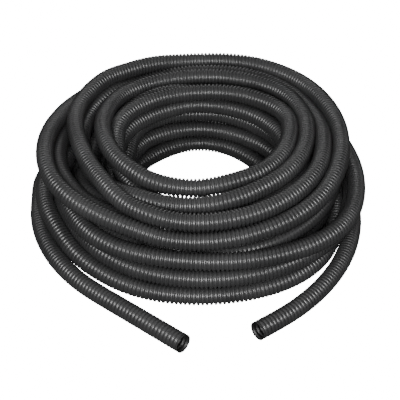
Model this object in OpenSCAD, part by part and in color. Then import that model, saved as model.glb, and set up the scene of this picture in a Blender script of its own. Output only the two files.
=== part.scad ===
// Coil of corrugated plastic conduit with two free ends.
// Origin on the floor at the coil's axis, +Z up, the free ends run out towards -Y.

/* [Conduit] */
// Outside diameter over the crests
outer_d = 25; // [20:0.5:32]
// Height of a crest above the valley beside it
wave_depth = 2.4; // [1.6:0.1:3]
// Distance from one crest to the next
pitch = 5.5; // [5:0.1:7]
// Width of a crest
crest_w = 3.6; // [3:0.1:4]
// Width of the flat on top of a crest
crest_flat = 1.8; // [1.2:0.1:2.4]
// Thickness of the wall
wall = 0.6; // [0.4:0.05:0.9]

/* [Coil] */
// Outside diameter of the coil at its widest turn, which the free ends leave
coil_d = 466; // [430:2:600]
// How far neighbouring turns sink into each other's waves
nest = 0.4; // [0.2:0.1:0.8]
// Gap between the widest turn and the turns it lies against
loose = 1; // [0.8:0.1:2]

/* [Left free end] */
// Angle round the coil from its left side to where this end leaves it
left_leave_a = -1; // [-5:1:20]
// Radius of its bend
left_bend_r = 270; // [250:5:400]
// Angle of its bend
left_bend_a = 50; // [35:1:60]
// Waves on its straight run
left_waves = 28; // [10:1:40]

/* [Right free end] */
// Angle round the coil from its right side to where this end leaves it, less than 0 where that is behind the side
right_leave_a = -4; // [-15:1:20]
// Radius of its bend
right_bend_r = 330; // [260:5:400]
// Angle of its bend
right_bend_a = 54; // [35:1:70]
// Waves on its straight run
right_waves = 6; // [4:1:40]

/* [Hidden] */
$fn = 48;
// Each row of the coil from the floor up: its full turns, and how many turn widths its innermost turn is shifted outwards
row_plan = [[4, 0], [5, -0.5], [5, -0.55], [4, 0.15], [4, 0.3]];
crest_r = outer_d / 2;
valley_r = crest_r - wave_depth;
bore_r = valley_r - wall;
turn_step = outer_d - nest;
wide_turn_r = coil_d / 2 - crest_r;
floor_turn_r = wide_turn_r - outer_d - loose;
inner_turn_r = floor_turn_r - (row_plan[0][0] - 1) * turn_step;
root_sink = wall / 2;

// How far a row's turns lie beside the turns below them
function side_step(row) =
    let(shift = row_plan[row][1] - row_plan[row - 1][1]) (shift - round(shift)) * turn_step;
// Height of a row, each row seated on the one below it
function row_z(row) =
    row == 0 ? crest_r : row_z(row - 1) + sqrt(turn_step ^ 2 - side_step(row) ^ 2);
function turn_r(row, turn) = inner_turn_r + (turn + row_plan[row][1]) * turn_step;
function last_turn(row) = row_plan[row][0] - 1;

// Section through the full turns on one side of the coil, filled between them
module turns_section() {
    top = len(row_plan) - 1;
    inner_side = [for (row = [top:-1:0]) [turn_r(row, 0), row_z(row)]];
    outer_side = [for (row = [0:top]) [turn_r(row, last_turn(row)), row_z(row)]];
    polygon(concat(inner_side, outer_side));
    for (row = [0:top], turn = [0:last_turn(row)]) {
        translate([turn_r(row, turn), row_z(row)]) circle(crest_r);
    }
}

// Section through the widest turn, joined to the two turns it lies against
module wide_turn_section() {
    polygon([
        [wide_turn_r, crest_r],
        [turn_r(0, last_turn(0)), row_z(0)],
        [turn_r(1, last_turn(1)), row_z(1)]
    ]);
    translate([wide_turn_r, crest_r]) circle(crest_r);
}

// The full turns, and the widest turn from where one free end leaves it round the back to the other
module coil() {
    color("#0d0d0e") {
        rotate_extrude($fn = 120) turns_section();
        rotate(-right_leave_a)
            rotate_extrude(angle = 180 + right_leave_a + left_leave_a, $fn = 120) wide_turn_section();
    }
}

// One wave with rounded shoulders, in the plane of radius and length
module wave_section(half_w, low, high, flat) {
    shoulder = high - sqrt(half_w ^ 2 - (flat / 2) ^ 2);
    intersection() {
        translate([low, -half_w]) square([high - low, 2 * half_w]);
        union() {
            translate([low, -half_w]) square([shoulder - low, 2 * half_w]);
            translate([shoulder, 0]) circle(half_w);
        }
    }
}

module crest_section() {
    wave_section(crest_w / 2, valley_r - root_sink, crest_r, crest_flat);
}

module hollow_section() {
    wave_section(crest_w / 2 - wall, bore_r - root_sink, crest_r - wall, crest_flat - wall);
}

// A bend and the straight run after it, which starts at the joint and runs towards -Y
module round_bar(r, bend_r, bend_a, waves) {
    rotate_extrude(angle = bend_a, $fn = 120) translate([bend_r, 0]) circle(r);
    translate([bend_r, 0, 0]) rotate([90, 0, 0]) cylinder(r = r, h = waves * pitch);
}

// The waves of the straight run
module run_waves(bend_r, waves) {
    translate([bend_r, 0, 0]) rotate([90, 0, 0]) rotate_extrude() {
        for (wave = [1:waves]) {
            translate([0, (wave - 0.5) * pitch]) children();
        }
    }
}

// The waves of the bend
module bend_waves(bend_r, bend_a) {
    wave_a = pitch / bend_r * 180 / PI;
    for (a = [wave_a / 2:wave_a:bend_a - wave_a / 2]) {
        rotate(a) translate([bend_r, 0, 0]) rotate([90, 0, 0]) rotate_extrude() children();
    }
}

// A hollow free end on the right of the coil, tangent to the widest turn where it leaves it
module free_end(leave_a, bend_r, bend_a, waves) {
    rotate(-leave_a) translate([wide_turn_r - bend_r, 0, crest_r]) rotate(-bend_a) difference() {
        union() {
            round_bar(valley_r, bend_r, bend_a, waves);
            run_waves(bend_r, waves) crest_section();
            bend_waves(bend_r, bend_a) crest_section();
        }
        round_bar(bore_r, bend_r, bend_a, waves);
        run_waves(bend_r, waves) hollow_section();
    }
}

module left_end() {
    color("#0d0d0e") mirror([1, 0, 0]) free_end(left_leave_a, left_bend_r, left_bend_a, left_waves);
}

module right_end() {
    color("#0d0d0e") free_end(right_leave_a, right_bend_r, right_bend_a, right_waves);
}

coil();
left_end();
right_end();
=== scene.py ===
import bpy
import math
import numpy as np
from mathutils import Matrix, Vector


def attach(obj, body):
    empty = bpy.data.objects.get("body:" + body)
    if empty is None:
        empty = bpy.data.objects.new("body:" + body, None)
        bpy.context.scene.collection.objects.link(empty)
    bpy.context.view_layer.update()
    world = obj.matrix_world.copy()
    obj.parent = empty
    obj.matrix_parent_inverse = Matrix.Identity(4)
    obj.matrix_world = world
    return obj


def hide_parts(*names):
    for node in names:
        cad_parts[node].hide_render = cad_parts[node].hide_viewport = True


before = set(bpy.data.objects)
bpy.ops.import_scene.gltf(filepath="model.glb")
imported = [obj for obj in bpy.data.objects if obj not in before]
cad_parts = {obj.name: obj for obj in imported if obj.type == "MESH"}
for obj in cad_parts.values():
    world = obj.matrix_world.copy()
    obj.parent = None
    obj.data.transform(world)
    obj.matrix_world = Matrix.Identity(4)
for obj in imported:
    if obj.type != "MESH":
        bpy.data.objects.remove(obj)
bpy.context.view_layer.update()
print("frame loaded, nodes:", ", ".join(sorted(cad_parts)))

mm = 0.001

# The corrugated wall. A wave is a row of (share of the pitch, share of the depth, lean of
# the surface along the conduit in degrees), and starts where a crest does
conduit = {
    "outerDiameter": 25 * mm,
    "waveDepth": 2.4 * mm,
    "pitch": 5.5 * mm,
    "wall": 0.6 * mm,
    "fineWave": [(0.0, 1.0, -10), (0.32, 1.0, 10), (0.44, 0.60, 48),
                 (0.58, 0.0, 12), (0.74, 0.0, -12), (0.88, 0.60, -48)],
    "plainWave": [(0.0, 1.0, -12), (0.32, 1.0, 12), (0.56, 0.0, 15), (0.76, 0.0, -15)],
    "crestLand": 0.32,     # share of the pitch, the flat on top of a crest
    "sides": {"plain": 12, "fine": 20, "end": 32},
    "lookAhead": 2 * mm,   # how far along its direction is read
}

# The two free ends: where each leaves the widest turn, its bend and its straight run
freeEnds = {
    "widestTurnRadius": 220.5 * mm,
    "left": {"leaveAngle": 0, "bendRadius": 278 * mm, "bendAngle": 49, "runLength": 149 * mm},
    "right": {"leaveAngle": -11.5, "bendRadius": 313 * mm, "bendAngle": 63, "runLength": 33 * mm},
    "hollowLength": 120 * mm,     # how deep the inside is modelled from the mouth
    "bendSteps": 90,
    "runSteps": 60,
}

# How the hose was wound. Each line is one turn of (angle from the front towards the
# right, radius, height), the last two in conduit diameters
winding = {
    "turns": [
        [(135, 8.85, 0.5), (180, 8.9, 0.5), (200, 8.8, 1.1), (225, 8.7, 1.45), (250, 8.6, 1.45),
         (270, 8.5, 1.45), (285, 8.4, 1.3), (300, 8.3, 1.0), (320, 8.3, 0.7), (340, 8.5, 0.5)],
        [(0, 8.6, 0.5), (45, 8.75, 0.5), (90, 7.9, 0.8), (180, 8.85, 1.45), (200, 8.25, 1.85),
         (225, 7.75, 1.6), (250, 7.55, 1.45), (270, 7.5, 1.45), (300, 7.5, 1.4), (315, 7.7, 1.4),
         (330, 8.0, 1.4), (345, 8.2, 1.4)],
        [(0, 8.45, 1.4), (90, 8.9, 1.45), (180, 9.0, 2.4), (225, 7.95, 2.6), (250, 7.5, 2.5),
         (270, 7.45, 2.5), (285, 7.5, 2.5), (300, 7.65, 2.5), (315, 7.95, 2.45),
         (330, 8.1, 2.45)],
        [(0, 8.15, 2.4), (23, 8.65, 2.4), (37, 9.0, 2.4), (54, 9.35, 2.4), (80, 9.1, 2.4),
         (115, 8.85, 2.8), (140, 8.9, 3.1), (180, 9.0, 3.35), (205, 9.15, 3.85),
         (222, 8.55, 3.95), (240, 8.3, 4.15), (262, 8.25, 4.3), (300, 8.2, 4.1), (335, 7.6, 3.6)],
        [(0, 7.75, 3.4), (45, 8.1, 3.8), (90, 8.0, 4.3), (115, 8.15, 4.3), (138, 9.15, 4.35),
         (158, 9.6, 4.4), (180, 9.4, 4.35), (200, 8.85, 4.42), (216, 8.4, 4.47), (235, 8.0, 4.5),
         (252, 7.1, 4.5), (270, 6.4, 4.5), (295, 6.05, 4.4), (315, 6.25, 4.3), (330, 6.75, 4.25),
         (345, 7.2, 4.2)],
        [(0, 7.4, 4.2), (45, 7.1, 4.2), (90, 7.3, 4.3), (130, 8.3, 4.1), (155, 8.7, 3.95),
         (180, 8.45, 4.0), (220, 8.3, 3.6), (243, 7.2, 3.5), (270, 6.1, 3.4), (300, 5.6, 3.5),
         (330, 5.8, 4.0), (345, 6.1, 4.3)],
        [(0, 6.2, 4.38), (45, 5.75, 4.38), (90, 6.1, 4.4), (115, 6.9, 4.4), (136, 7.5, 4.4),
         (180, 7.5, 4.3), (213, 6.95, 4.3), (240, 5.85, 4.5), (269, 4.9, 4.5), (305, 4.5, 4.5),
         (336, 4.65, 4.52)],
        [(0, 4.75, 4.54), (30, 4.75, 4.63), (60, 4.95, 4.5), (90, 5.3, 4.5), (116, 5.95, 4.4),
         (141, 5.95, 4.4), (180, 5.6, 4.3), (209, 5.3, 4.2), (228, 5.05, 4.1), (245, 4.8, 3.9),
         (261, 4.5, 3.7), (285, 4.4, 3.4), (320, 4.9, 3.4)],
        [(0, 5.4, 3.5), (90, 5.3, 3.5), (157, 5.77, 3.4), (180, 5.8, 3.35), (206, 5.35, 3.4),
         (225, 5.05, 3.4), (247, 4.63, 3.2), (270, 4.35, 2.9), (315, 5.1, 3.2)],
        [(0, 6.4, 3.5), (90, 6.3, 3.5), (180, 6.95, 3.35), (270, 6.0, 3.3)],
        [(0, 6.9, 3.0), (90, 7.0, 3.3), (180, 7.9, 3.1), (215, 8.1, 3.0), (240, 8.0, 3.15),
         (255, 7.75, 3.4), (270, 7.6, 3.55), (287, 7.45, 3.55), (300, 7.25, 3.4),
         (330, 6.9, 3.2)],
        [(0, 7.2, 2.2), (90, 7.8, 2.5), (180, 8.0, 2.3), (270, 6.5, 2.4)],
        [(0, 7.4, 1.3), (90, 7.5, 1.5), (180, 7.9, 1.4), (270, 7.3, 0.5)],
        [(0, 6.4, 1.4), (90, 6.5, 1.5), (180, 6.95, 1.45), (270, 5.6, 1.5)],
        [(0, 6.2, 2.3), (90, 6.5, 2.4), (180, 7.5, 2.4), (225, 6.6, 2.4), (270, 5.4, 2.4)],
        [(0, 5.3, 2.4), (90, 5.5, 2.4), (140, 6.2, 2.4), (180, 6.5, 2.4), (209, 6.0, 2.4),
         (240, 4.5, 2.3), (270, 4.3, 2.0)],
        [(0, 5.3, 1.45), (90, 5.4, 1.45), (135, 5.85, 1.45), (180, 6.17, 1.45), (209, 5.65, 1.5),
         (240, 4.55, 1.5), (270, 4.4, 1.2), (310, 4.8, 0.8)],
        [(0, 5.1, 0.5), (90, 5.2, 0.5), (141, 5.45, 0.5), (165, 6.1, 0.5), (185, 6.0, 0.5),
         (203, 5.4, 0.5), (225, 4.8, 0.6), (250, 4.7, 0.5), (290, 5.0, 0.5)],
        [(0, 6.0, 0.5), (90, 6.2, 0.5), (180, 6.95, 0.5), (270, 6.2, 0.5), (315, 6.9, 0.5)],
        [(0, 7.5, 0.5), (90, 7.4, 0.5), (180, 7.95, 0.5), (210, 8.3, 0.5), (235, 8.9, 0.5),
         (250, 9.15, 0.5), (262, 9.05, 0.5)],
    ],
    "inSight": [0, 1, 2, 3, 4, 5, 6, 7, 8, 10, 15, 16, 17, 19],     # the others only have to find a place
    "stationStep": 5,      # degrees, the strands are settled at these
    "fineStep": 0.5,       # degrees, and drawn at these
    "joinGap": 1.5,        # degrees left open where a free end takes over
    "endSpan": 80,         # degrees that a free end counts for in turn numbers
    "rounds": 400,
    "holdInSight": 0.15,
    "holdHidden": 0.004,
    "firmHidden": 0.1,     # how hard a hidden strand is to push aside, in sight is 1
    "stiffness": 0.35,
    "closest": 0.97,       # in diameters, between the middles of neighbouring strands
    "touches": 3,
    "pushShare": 0.6,      # of an overlap, taken away by one push
    "evenReach": 12,       # in mm to each side, the running mean along the hose
}


def endRoute(end, side):
    leave, bend = math.radians(end["leaveAngle"]), math.radians(end["bendAngle"])
    radius = end["bendRadius"]
    centre = freeEnds["widestTurnRadius"] - radius
    along = np.linspace(0, bend, freeEnds["bendSteps"])
    x, y = centre + radius * np.cos(along), -radius * np.sin(along)
    steps = np.linspace(0, end["runLength"], freeEnds["runSteps"])[1:]
    x = np.append(x, x[-1] - math.sin(bend) * steps)
    y = np.append(y, y[-1] - math.cos(bend) * steps)
    c, s = math.cos(leave), math.sin(leave)
    return np.stack([side * (x * c + y * s), y * c - x * s], 1)


def roundTheCoil(points):
    around = np.degrees(np.arctan2(points[:, 0], -points[:, 1])) % 360
    return around, np.hypot(points[:, 0], points[:, 1])


def smoothThrough(knots, values, where):
    # a cubic through the values whose slope at each knot is the mean of both sides
    gaps = np.diff(knots)
    slopes = np.diff(values) / gaps
    lean = np.concatenate([slopes[:1], 0.5 * (slopes[:-1] + slopes[1:]), slopes[-1:]])
    i = np.clip(np.searchsorted(knots, where) - 1, 0, len(knots) - 2)
    t, h = (where - knots[i]) / gaps[i], gaps[i]
    first = (2 * t**3 - 3 * t**2 + 1) * values[i] + (t**3 - 2 * t**2 + t) * h * lean[i]
    second = (-2 * t**3 + 3 * t**2) * values[i + 1] + (t**3 - t**2) * h * lean[i + 1]
    return first + second


def planStations(leftRun, rightRun):
    diameter, step = conduit["outerDiameter"], winding["stationStep"]
    rightAngle, rightRadius = roundTheCoil(rightRun)
    leftAngle, leftRadius = roundTheCoil(leftRun)
    lastTurn = 360 * (len(winding["turns"]) - 1)
    leftAngle = np.where(leftAngle < 180, leftAngle + 360, leftAngle) + lastTurn
    knots = np.array([(a + 360 * k, r, z) for k, turn in enumerate(winding["turns"]) for a, r, z in turn])
    leaveRight, leaveLeft = rightAngle[0], leftAngle[0]
    knots = knots[(knots[:, 0] > leaveRight + 3) & (knots[:, 0] < leaveLeft - 3)]
    start = [leaveRight, rightRadius[0] / diameter, 0.5]
    stop = [leaveLeft, leftRadius[0] / diameter, 0.5]
    knots = np.vstack([start, knots, stop])
    angles = np.arange(math.ceil(rightAngle[-1] / step), math.floor(leftAngle[-1] / step) + 1) * float(step)
    radius = smoothThrough(knots[:, 0], knots[:, 1], angles)
    height = smoothThrough(knots[:, 0], knots[:, 2], angles)
    onRight, onLeft = angles <= leaveRight, angles >= leaveLeft
    radius[onRight] = np.interp(angles[onRight], rightAngle[::-1], rightRadius[::-1]) / diameter
    radius[onLeft] = np.interp(angles[onLeft], leftAngle, leftRadius) / diameter
    height[onRight | onLeft] = 0.5
    return angles, np.stack([radius, height], 1), onRight | onLeft, (leaveRight, leaveLeft)


def settleTurns(angles, plan, fixed):
    # the strands push each other apart until they lie side by side, and stay stiff
    place, perTurn = plan.copy(), 360 // winding["stationStep"]
    inSight = np.isin(np.floor(angles / 360), winding["inSight"]) | fixed
    hold = np.where(inSight, winding["holdInSight"], winding["holdHidden"])[:, None]
    firm = np.where(fixed, 1000, np.where(inSight, 1, winding["firmHidden"]))
    layers = math.ceil(len(angles) / perTurn)
    index = np.full(perTurn * layers, -1)
    index[:len(angles)] = np.arange(len(angles))
    index = index.reshape(layers, perTurn).T
    there, safe = index >= 0, np.maximum(index, 0)
    both = there[:, :, None] & there[:, None, :] & ~np.eye(layers, dtype=bool)[None]
    share = (firm[safe][:, None, :] / (firm[safe][:, None, :] + firm[safe][:, :, None]))[..., None]
    free = ~fixed
    for sweep in range(winding["rounds"]):
        place[free] += (hold * (plan - place))[free]
        sag, bend = np.zeros_like(place), np.zeros_like(place)
        sag[1:-1] = 0.5 * (place[:-2] + place[2:]) - place[1:-1]
        bend[2:-2] = 0.5 * (sag[1:-3] + sag[3:-1]) - sag[2:-2]
        place[free] -= (winding["stiffness"] * bend)[free]
        for touch in range(winding["touches"]):
            rows = place[safe]
            apart = rows[:, :, None, :] - rows[:, None, :, :]
            distance = np.sqrt((apart**2).sum(-1)) + 1e-9
            close = both & (distance < winding["closest"])
            push = np.where(close, (winding["closest"] - distance) / distance, 0)[..., None] * apart
            move = (push * share).sum(2) * winding["pushShare"]
            move[fixed[safe]] = 0
            place[index[there]] += move[there]
            place[free, 1] = np.maximum(place[free, 1], 0.5)
    return place


def windHose():
    diameter = conduit["outerDiameter"]
    leftRun, rightRun = endRoute(freeEnds["left"], -1), endRoute(freeEnds["right"], 1)
    angles, plan, fixed, (leaveRight, leaveLeft) = planStations(leftRun, rightRun)
    place = settleTurns(angles, plan, fixed)
    gap, span = winding["joinGap"], winding["endSpan"]
    fine = np.arange(leaveRight + gap, leaveLeft - gap, winding["fineStep"])
    radius = smoothThrough(angles, place[:, 0], fine) * diameter
    height = smoothThrough(angles, place[:, 1], fine) * diameter
    turnsXyz = np.stack([radius * np.sin(np.radians(fine)), -radius * np.cos(np.radians(fine)), height], 1)
    level = 0.5 * diameter
    rightXyz = np.column_stack([rightRun, np.full(len(rightRun), level)])[::-1]
    leftXyz = np.column_stack([leftRun, np.full(len(leftRun), level)])
    points = np.vstack([rightXyz, turnsXyz, leftXyz])
    turnAt = np.concatenate([np.linspace(leaveRight - span, leaveRight, len(rightXyz)), fine,
                             np.linspace(leaveLeft, leaveLeft + span, len(leftXyz))]) / 360
    along = np.concatenate([[0], np.cumsum(np.linalg.norm(np.diff(points, axis=0), axis=1))])
    # even 1 mm steps, then a short running mean takes out the last small kinks
    even = np.arange(0, along[-1], 1 * mm)
    points = np.stack([np.interp(even, along, points[:, k]) for k in range(3)], 1)
    turnAt = np.interp(even, along, turnAt)
    reach = winding["evenReach"]
    width = 2 * reach + 1
    for sweep in range(2):
        before = 2 * points[0] - points[reach:0:-1]
        after = 2 * points[-1] - points[-2:-2 - reach:-1]
        sums = np.cumsum(np.vstack([np.zeros(3), before, points, after]), axis=0)
        points = (sums[width:] - sums[:-width]) / width
    along = np.concatenate([[0], np.cumsum(np.linalg.norm(np.diff(points, axis=0), axis=1))])
    return points, along, turnAt


hosePoints, hoseAlong, hoseTurn = windHose()
hoseLength = hoseAlong[-1]
print("hose wound: %.2f m" % hoseLength)


def alongHose(s):
    return np.stack([np.interp(s, hoseAlong, hosePoints[:, k]) for k in range(3)], 1)


def ringsAlong(s, radii, leans, sides):
    middle = alongHose(s)
    reach = conduit["lookAhead"]
    ahead = alongHose(np.clip(s + reach, 0, hoseLength)) - alongHose(np.clip(s - reach, 0, hoseLength))
    ahead /= np.linalg.norm(ahead, axis=1)[:, None]
    up = np.array([0, 0, 1.0]) - ahead * ahead[:, 2:3]
    up /= np.linalg.norm(up, axis=1)[:, None]
    across = np.cross(ahead, up)
    spin = np.linspace(0, 2 * math.pi, sides, endpoint=False)
    ring = np.cos(spin)[None, :, None] * across[:, None, :] + np.sin(spin)[None, :, None] * up[:, None, :]
    lean = np.radians(leans)[:, None, None]
    facing = np.cos(lean) * ring + np.sin(lean) * ahead[:, None, :]
    return middle[:, None, :] + ring * radii[:, None, None], facing


def tubeMesh(name, rings, facing):
    count, sides = rings.shape[:2]
    n, k = np.meshgrid(np.arange(count - 1), np.arange(sides), indexing="ij")
    after = (k + 1) % sides
    quads = np.stack([n * sides + k, (n + 1) * sides + k, (n + 1) * sides + after, n * sides + after], -1)
    faces = quads.reshape(-1, 4).tolist()
    faces.append(list(range(sides)))
    faces.append(list(range((count - 1) * sides, count * sides))[::-1])
    mesh = bpy.data.meshes.new(name)
    mesh.from_pydata(rings.reshape(-1, 3).tolist(), [], faces)
    mesh.polygons.foreach_set("use_smooth", np.ones(len(faces), dtype=bool))
    mesh.normals_split_custom_set_from_vertices(facing.reshape(-1, 3).tolist())
    mesh.update()
    return mesh


def waveStations(firstWave, lastWave, pitch, wave):
    share, height, lean = np.array(wave, dtype=float).T
    count = lastWave - firstWave
    s = ((np.arange(firstWave, lastWave)[:, None] + share[None, :]) * pitch).ravel()
    heights, leans = np.tile(height, count), np.tile(lean, count)
    # ends on the crest that the next length starts on
    return np.append(s, lastWave * pitch), np.append(heights, height[0]), np.append(leans, lean[0])


# Consecutive lengths of the one hose, each from one turn number to the next
lengths = {
    "pieces": [
        ("rightEnd", -1.0, 0.30, "end"),
        ("outerTurns", 0.30, 3.0, "fine"),
        ("upperTurns", 3.0, 6.0, "fine"),
        ("topTurns", 6.0, 9.0, "fine"),
        ("middleTurns", 9.0, 15.0, "plain"),
        ("innerTurns", 15.0, 18.0, "fine"),
        ("lastTurns", 18.0, 19.70, "fine"),
        ("leftEnd", 19.70, 99.0, "end"),
    ],
    "replaced": {"rightEnd": "right_end", "leftEnd": "left_end"},
    "replacedByTurns": "coil",
    "pathStep": 8 * mm,
}


def waveAtTurn(turn):
    place = float(np.interp(turn, hoseTurn, hoseAlong))
    return min(int(round(place / truePitch)), waveCount)


def openMouth(s, radii, leans, flip):
    # from inside along the same waves, over the cut rim, and on outside
    s, radii, leans = s[::flip], radii[::flip], leans[::flip]
    inside = np.abs(s - s[0]) < freeEnds["hollowLength"]
    wall = conduit["wall"]
    allS = np.concatenate([s[inside][::-1], s[:1], s])
    allRadii = np.concatenate([radii[inside][::-1] - wall, radii[:1] - wall / 2, radii])
    allLeans = np.concatenate([leans[inside][::-1] + 180, [-90 * flip], leans])
    return allS[::flip], allRadii[::flip], allLeans[::flip], np.sum(inside)


waveCount = int(hoseLength / conduit["pitch"])
truePitch = hoseLength / (waveCount + conduit["crestLand"])     # both mouths are cut at a crest
crestRadius = conduit["outerDiameter"] / 2
rootRadius = crestRadius - conduit["waveDepth"]

pieces, paintedShadeFaces = {}, {}
for name, fromTurn, toTurn, kind in lengths["pieces"]:
    first, last = waveAtTurn(fromTurn), waveAtTurn(toTurn)
    wave = conduit["plainWave"] if kind == "plain" else conduit["fineWave"]
    sides = conduit["sides"][kind]
    s, heights, leans = waveStations(first, last, truePitch, wave)
    if name == "leftEnd":
        s, heights, leans = np.append(s, hoseLength), np.append(heights, 1), np.append(leans, 0)
    radii = rootRadius + heights * conduit["waveDepth"]
    if kind == "end":
        flip = 1 if name == "rightEnd" else -1
        s, radii, leans, insideRings = openMouth(s, radii, leans, flip)
    rings, facing = ringsAlong(s, radii, leans, sides)
    mesh = tubeMesh(name, rings, facing)
    if kind == "end":
        # the faces inside each mouth, which get the painted shade material
        ring = np.arange(len(mesh.polygons)) // sides
        deep = ring < insideRings if name == "rightEnd" else ring >= len(s) - 1 - insideRings
        paintedShadeFaces[name] = deep.astype(int)
    piece = bpy.data.objects.new(name, mesh)
    bpy.context.collection.objects.link(piece)
    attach(piece, "root")
    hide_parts(lengths["replaced"].get(name, lengths["replacedByTurns"]))
    startS, stopS = first * truePitch, hoseLength if name == "leftEnd" else last * truePitch
    pathSteps = int((stopS - startS) / lengths["pathStep"]) + 2
    path = alongHose(np.linspace(startS, stopS, pathSteps))
    if name == "rightEnd":
        path = path[::-1]
    pieces[name] = piece
    print("%s: %.2f m, %d waves, %d faces" % (name, stopS - startS, last - first, len(mesh.polygons)))

# Black moulded plastic, semi-gloss, with faint scuffs and a little dust; inside the mouths rougher and
# painted far darker, as painted shade for the hollow
plastic = {
    "colour": (0.019, 0.019, 0.0195, 1),
    "dusty": (0.034, 0.034, 0.0345, 1),
    "roughness": (0.31, 0.41),
    # painted shade: the same plastic inside the mouths, its colour darkened to stand in for the shade in
    # the hollow
    "insideShadeColour": (0.004, 0.004, 0.0041, 1),
    "insideShadeDusty": (0.007, 0.007, 0.0071, 1),
    "insideRoughness": (0.45, 0.55),
    "scuffScale": 14,
    "scuffDetail": 6,
    "scuffSpread": (0.35, 0.75),
    "grainScale": 900,
    "grain": 0.06,
    "grainHeight": 0.2 * mm,
}


def blackPlastic(name, colour, dusty, roughness):
    material = bpy.data.materials.new(name)
    material.use_nodes = True
    nodes, links = material.node_tree.nodes, material.node_tree.links
    shader = nodes["Principled BSDF"]
    place = nodes.new("ShaderNodeTexCoord")
    scuffs = nodes.new("ShaderNodeTexNoise")
    scuffs.inputs["Scale"].default_value = plastic["scuffScale"]
    scuffs.inputs["Detail"].default_value = plastic["scuffDetail"]
    links.new(place.outputs["Object"], scuffs.inputs["Vector"])
    tone = nodes.new("ShaderNodeMix")
    tone.data_type = "RGBA"
    tone.inputs["A"].default_value = colour
    tone.inputs["B"].default_value = dusty
    spread = nodes.new("ShaderNodeMapRange")
    spread.inputs["From Min"].default_value = plastic["scuffSpread"][0]
    spread.inputs["From Max"].default_value = plastic["scuffSpread"][1]
    links.new(scuffs.outputs["Fac"], spread.inputs["Value"])
    links.new(spread.outputs["Result"], tone.inputs["Factor"])
    links.new(tone.outputs["Result"], shader.inputs["Base Color"])
    rough = nodes.new("ShaderNodeMapRange")
    rough.inputs["To Min"].default_value = roughness[0]
    rough.inputs["To Max"].default_value = roughness[1]
    links.new(scuffs.outputs["Fac"], rough.inputs["Value"])
    links.new(rough.outputs["Result"], shader.inputs["Roughness"])
    grain = nodes.new("ShaderNodeTexNoise")
    grain.inputs["Scale"].default_value = plastic["grainScale"]
    links.new(place.outputs["Object"], grain.inputs["Vector"])
    bump = nodes.new("ShaderNodeBump")
    bump.inputs["Strength"].default_value = plastic["grain"]
    bump.inputs["Distance"].default_value = plastic["grainHeight"]
    links.new(grain.outputs["Fac"], bump.inputs["Height"])
    links.new(bump.outputs["Normal"], shader.inputs["Normal"])
    return material


hoseMaterial = blackPlastic("blackPlastic", plastic["colour"], plastic["dusty"], plastic["roughness"])
# painted shade: the inside of the mouths gets the darkened colours, plus a rougher finish
paintedShadeMaterial = blackPlastic("paintedShadeInside", plastic["insideShadeColour"], plastic["insideShadeDusty"],
                              plastic["insideRoughness"])
for name, piece in pieces.items():
    piece.data.materials.append(hoseMaterial)
    if name in paintedShadeFaces:
        piece.data.materials.append(paintedShadeMaterial)
        piece.data.polygons.foreach_set("material_index", paintedShadeFaces[name])
print("material made")

# Plain pale floor, soft light and the camera
studio = {
    "floorSize": 60.0,
    "floorTone": 0.9,
    "floorRoughness": 0.9,
    "floorGlow": 16.0,
    "aboveGlow": 0.7,      # what the hose mirrors from the room and from the table
    "belowGlow": 2.0,
    "horizonBlur": 0.25,   # how far below level the two fade into each other
    "lightsAim": 50 * mm,  # above the floor
    "lights": [
        # name, direction from the front towards the right, elevation, distance, size, power
        ("frontBox", -4, 30, 1.9, (0.8, 0.6), 52),
        ("leftBox", -72, 40, 1.8, (1.0, 0.5), 5),
        ("rightBox", 68, 25, 1.8, (1.0, 0.5), 5),
        ("backBox", 180, 30, 1.9, (1.2, 0.5), 6),
        ("ceiling", 0, 90, 1.8, (1.8, 1.8), 8),
    ],
    "target": (5.5 * mm, 9 * mm, 62.5 * mm),
    "elevation": 33.5,
    "distance": 1712.5 * mm,
    "lens": 109.08,
    "lower": 1.56,
    "side": 0.095,
    "clip": (0.05, 50),
}

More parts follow.
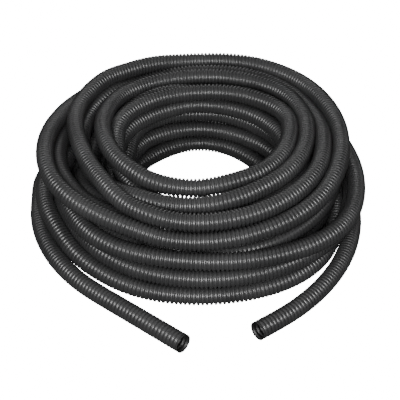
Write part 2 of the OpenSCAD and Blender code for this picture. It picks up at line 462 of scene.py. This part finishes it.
floorMesh = bpy.data.meshes.new("floor")
half = studio["floorSize"] / 2
corners = [(-half, -half, 0), (half, -half, 0), (half, half, 0), (-half, half, 0)]
floorMesh.from_pydata(corners, [], [(0, 1, 2, 3)])
floor = bpy.data.objects.new("floor", floorMesh)
bpy.context.collection.objects.link(floor)
floorMaterial = bpy.data.materials.new("floorPaint")
floorMaterial.use_nodes = True
paint = floorMaterial.node_tree.nodes["Principled BSDF"]
paint.inputs["Base Color"].default_value = (studio["floorTone"],) * 3 + (1,)
paint.inputs["Roughness"].default_value = studio["floorRoughness"]
paint.inputs["Emission Color"].default_value = (1, 1, 1, 1)
paint.inputs["Emission Strength"].default_value = studio["floorGlow"]
floorMesh.materials.append(floorMaterial)
floor.visible_glossy = False     # a cut-out white ground: it throws no light on the hose
floor.visible_diffuse = False

world = bpy.data.worlds.new("studio")
world.use_nodes = True
nodes, links = world.node_tree.nodes, world.node_tree.links
sky = nodes.new("ShaderNodeTexCoord")
split = nodes.new("ShaderNodeSeparateXYZ")
glow = nodes.new("ShaderNodeMapRange")
glow.inputs["From Min"].default_value = -studio["horizonBlur"]
glow.inputs["From Max"].default_value = 0.0
glow.inputs["To Min"].default_value = studio["belowGlow"]
glow.inputs["To Max"].default_value = studio["aboveGlow"]
links.new(sky.outputs["Generated"], split.inputs["Vector"])
links.new(split.outputs["Z"], glow.inputs["Value"])
links.new(glow.outputs["Result"], nodes["Background"].inputs["Strength"])
bpy.context.scene.world = world

for name, around, rise, far, size, power in studio["lights"]:
    data = bpy.data.lights.new(name, "AREA")
    data.shape = "RECTANGLE"
    data.size, data.size_y, data.energy = size[0], size[1], power
    lamp = bpy.data.objects.new(name, data)
    turn, lift = math.radians(around), math.radians(rise)
    towards = Vector((math.sin(turn) * math.cos(lift), -math.cos(turn) * math.cos(lift), math.sin(lift)))
    lamp.location = towards * far + Vector((0, 0, studio["lightsAim"]))
    lamp.rotation_euler = towards.to_track_quat("Z", "Y").to_euler()
    bpy.context.collection.objects.link(lamp)

cameraData = bpy.data.cameras.new("camera")
cameraData.lens, cameraData.sensor_width = studio["lens"], 36
cameraData.clip_start, cameraData.clip_end = studio["clip"]
camera = bpy.data.objects.new("camera", cameraData)
elevation, lower = math.radians(studio["elevation"]), math.radians(studio["elevation"] + studio["lower"])
sight = Vector((0, math.cos(elevation), -math.sin(elevation)))
camera.location = Vector(studio["target"]) - sight * studio["distance"]
side = math.radians(studio["side"])
aim = Vector((math.sin(side) * math.cos(lower), math.cos(side) * math.cos(lower), -math.sin(lower)))
camera.rotation_euler = aim.to_track_quat("-Z", "Y").to_euler()
bpy.context.collection.objects.link(camera)
bpy.context.scene.camera = camera
print("studio set")

bpy.context.view_layer.update()
